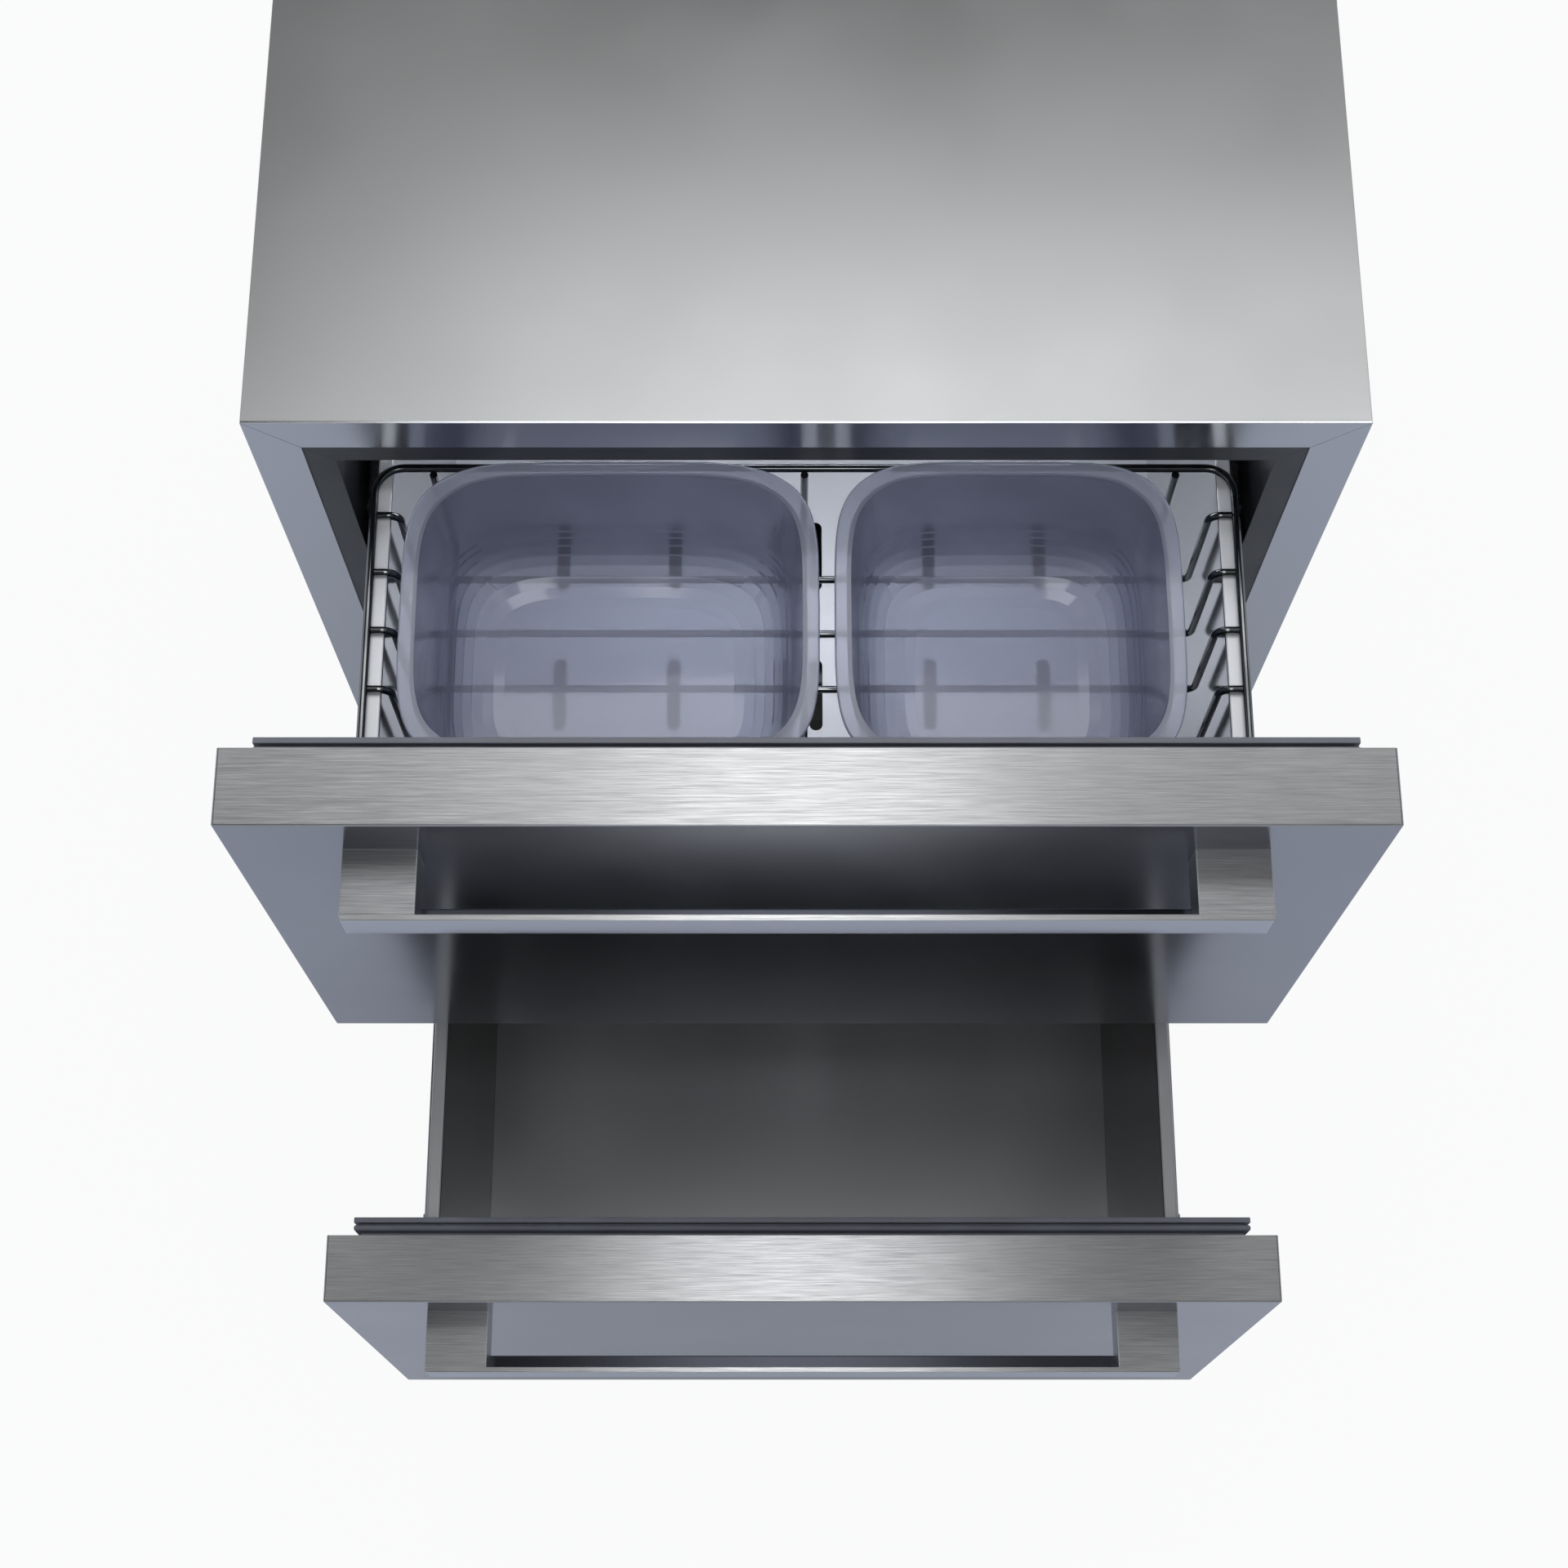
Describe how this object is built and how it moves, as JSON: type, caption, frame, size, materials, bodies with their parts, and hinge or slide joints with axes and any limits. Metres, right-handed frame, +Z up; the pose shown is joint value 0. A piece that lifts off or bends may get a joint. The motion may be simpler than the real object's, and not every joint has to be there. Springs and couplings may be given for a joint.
{
  "type": "undercounter drawer refrigerator",
  "caption": "Undercounter refrigerator in stainless steel with pull-out drawers, bar pulls, a sliding wire basket with smoky bins, and levelling feet.",
  "frame": {"origin": "on the floor under the middle of the whole box of the object, drawers out as at rest", "axes": "+X to the viewer's right, +Y from the drawer fronts to the back, +Z up"},
  "size_m": [0.6, 1.0102, 0.864],
  "materials": {
    "satin_steel": "satin",
    "polished_steel": "polished",
    "box_steel": "satin",
    "liner_steel": "satin",
    "runner_steel": "satin",
    "galvanised_sheet": "satin",
    "zinc": "satin",
    "dark_paint": "matte",
    "compressor_paint": "satin",
    "foam": "matte",
    "black_plastic": "matte",
    "grey_plastic": "satin",
    "lens": "satin",
    "rubber": "matte",
    "gasket_rubber": "satin",
    "copper": "satin",
    "aluminium": "satin",
    "basket_chrome": "polished",
    "smoky_plastic": "gloss"
  },
  "bodies": {
    "cabinet": {"outer_side_left": "satin_steel", "outer_side_right": "satin_steel", "outer_top": "satin_steel", "outer_back": "galvanised_sheet", "face_frame": "polished_steel", "liner_left": "liner_steel", "liner_right": "liner_steel", "liner_top": "liner_steel", "liner_bottom": "liner_steel", "liner_back": "liner_steel", "insulation": "foam", "mullion_rail": "liner_steel", "base_pan": "galvanised_sheet", "toe_grille": "dark_paint", "rear_cover": "galvanised_sheet", "lead_gland": "black_plastic", "cabinet_screws": "zinc", "control_module": "grey_plastic", "light_bar": "lens", "cabinet_runners": "runner_steel", "compressor": "compressor_paint", "compressor_grommets": "rubber", "condenser": "dark_paint", "fan_brackets": "black_plastic", "refrigerant_lines": "copper", "evaporator": "aluminium", "evaporator_cover": "liner_steel"},
    "foot_front_left": {"foot_front_left": "zinc"},
    "foot_front_right": {"foot_front_right": "zinc"},
    "foot_back_left": {"foot_back_left": "zinc"},
    "foot_back_right": {"foot_back_right": "zinc"},
    "condenser_fan": {"condenser_fan": "black_plastic"},
    "evaporator_fan": {"evaporator_fan": "black_plastic"},
    "upper_runner_middle": {"upper_runner_middle": "runner_steel"},
    "lower_runner_middle": {"lower_runner_middle": "runner_steel"},
    "upper_drawer": {"upper_door_skin": "satin_steel", "upper_door_core": "foam", "upper_door_liner": "liner_steel", "upper_gasket": "gasket_rubber", "upper_handle_bar": "polished_steel", "upper_handle_posts": "satin_steel", "upper_box_sides": "box_steel", "upper_box_back": "box_steel", "upper_box_floor": "box_steel", "upper_runner_inner": "runner_steel"},
    "lower_drawer": {"lower_door_skin": "satin_steel", "lower_door_core": "foam", "lower_door_liner": "liner_steel", "lower_gasket": "gasket_rubber", "lower_handle_bar": "polished_steel", "lower_handle_posts": "satin_steel", "lower_box_sides": "box_steel", "lower_box_back": "box_steel", "lower_box_floor": "box_steel", "lower_runner_inner": "runner_steel"},
    "basket": {"basket_rim": "basket_chrome", "basket_cross_wires": "basket_chrome", "basket_long_wires": "basket_chrome", "bin_left": "smoky_plastic", "bin_right": "smoky_plastic"}
  },
  "joints": [
    {"name": "upper_drawer_slide", "type": "slide", "parent": "cabinet", "child": "upper_drawer", "axis": [0, 1, 0], "range_m": [-0.2557, 0.1643]},
    {"name": "lower_drawer_slide", "type": "slide", "parent": "cabinet", "child": "lower_drawer", "axis": [0, 1, 0], "range_m": [0, 0.3407]},
    {"name": "upper_runner_slide", "type": "slide", "parent": "cabinet", "child": "upper_runner_middle", "axis": [0, 1, 0], "range_m": [-0.12786, 0.08216]},
    {"name": "lower_runner_slide", "type": "slide", "parent": "cabinet", "child": "lower_runner_middle", "axis": [0, 1, 0], "range_m": [0, 0.17036]},
    {"name": "basket_slide", "type": "slide", "parent": "upper_drawer", "child": "basket", "axis": [0, 1, 0], "range_m": [-0.0049, 0.2458]},
    {"name": "condenser_fan_spin", "type": "hinge", "parent": "cabinet", "child": "condenser_fan", "pos_m": [0.133, 0.4201, 0.133], "axis": [1, 0, 0], "continuous": true},
    {"name": "evaporator_fan_spin", "type": "hinge", "parent": "cabinet", "child": "evaporator_fan", "pos_m": [0, 0.4136, 0.692], "axis": [0, 1, 0], "continuous": true},
    {"name": "foot_front_left_turn", "type": "hinge", "parent": "cabinet", "child": "foot_front_left", "pos_m": [-0.255, -0.0069, 0], "axis": [0, 0, 1], "continuous": true},
    {"name": "foot_front_right_turn", "type": "hinge", "parent": "cabinet", "child": "foot_front_right", "pos_m": [0.255, -0.0069, 0], "axis": [0, 0, 1], "continuous": true},
    {"name": "foot_back_left_turn", "type": "hinge", "parent": "cabinet", "child": "foot_back_left", "pos_m": [-0.255, 0.4431, 0], "axis": [0, 0, 1], "continuous": true},
    {"name": "foot_back_right_turn", "type": "hinge", "parent": "cabinet", "child": "foot_back_right", "pos_m": [0.255, 0.4431, 0], "axis": [0, 0, 1], "continuous": true}
  ],
  "couplings": [
    {"joint": "upper_runner_slide", "follows": "upper_drawer_slide", "ratio": 0.5},
    {"joint": "lower_runner_slide", "follows": "lower_drawer_slide", "ratio": 0.5}
  ]
}
